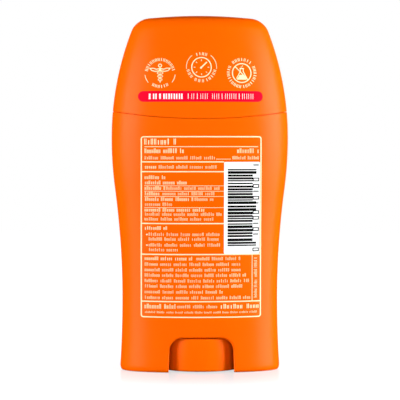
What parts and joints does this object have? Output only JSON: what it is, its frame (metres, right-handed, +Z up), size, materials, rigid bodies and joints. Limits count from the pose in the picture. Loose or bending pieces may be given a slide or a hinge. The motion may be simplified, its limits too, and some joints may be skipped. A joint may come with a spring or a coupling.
{
  "type": "deodorant stick",
  "caption": "Oval waisted twist-up stick with an over-cap, an inner barrel, a screw-driven platform, a round foot knob and a domed solid product.",
  "frame": {"origin": "middle of the foot rim, on the surface that the stick stands on", "axes": "+Z up along the stick, -Y out of the face seen in the picture, X along its width"},
  "size_m": [0.058, 0.0294, 0.1159],
  "materials": {
    "orange_shell": "satin orange moulded plastic",
    "orange_barrel": "satin orange moulded plastic",
    "orange_cap": "satin orange moulded plastic",
    "orange_knob": "satin orange moulded plastic",
    "natural_plastic": "natural uncoloured moulded plastic",
    "product": "waxy off-white solid"
  },
  "bodies": {
    "barrel": {"outer_shell": "orange_shell", "inner_barrel": "orange_barrel"},
    "cap": {"cap": "orange_cap"},
    "screw": {"knob": "orange_knob", "spindle": "natural_plastic"},
    "platform": {"elevator": "natural_plastic", "product_stick": "product"}
  },
  "joints": [
    {"name": "cap_lift", "type": "slide", "parent": "barrel", "child": "cap", "axis": [0, 0, 1], "range_m": [0, 0.04]},
    {"name": "knob_turn", "type": "hinge", "parent": "barrel", "child": "screw", "pos_m": [0, 0, 0], "axis": [0, 0, 1], "range_deg": [-3600, 360]},
    {"name": "platform_rise", "type": "slide", "parent": "barrel", "child": "platform", "axis": [0, 0, 1], "range_m": [-0.06, 0.006]}
  ],
  "couplings": [
    {"joint": "platform_rise", "follows": "knob_turn", "m_per_rad": 0.00095493}
  ]
}
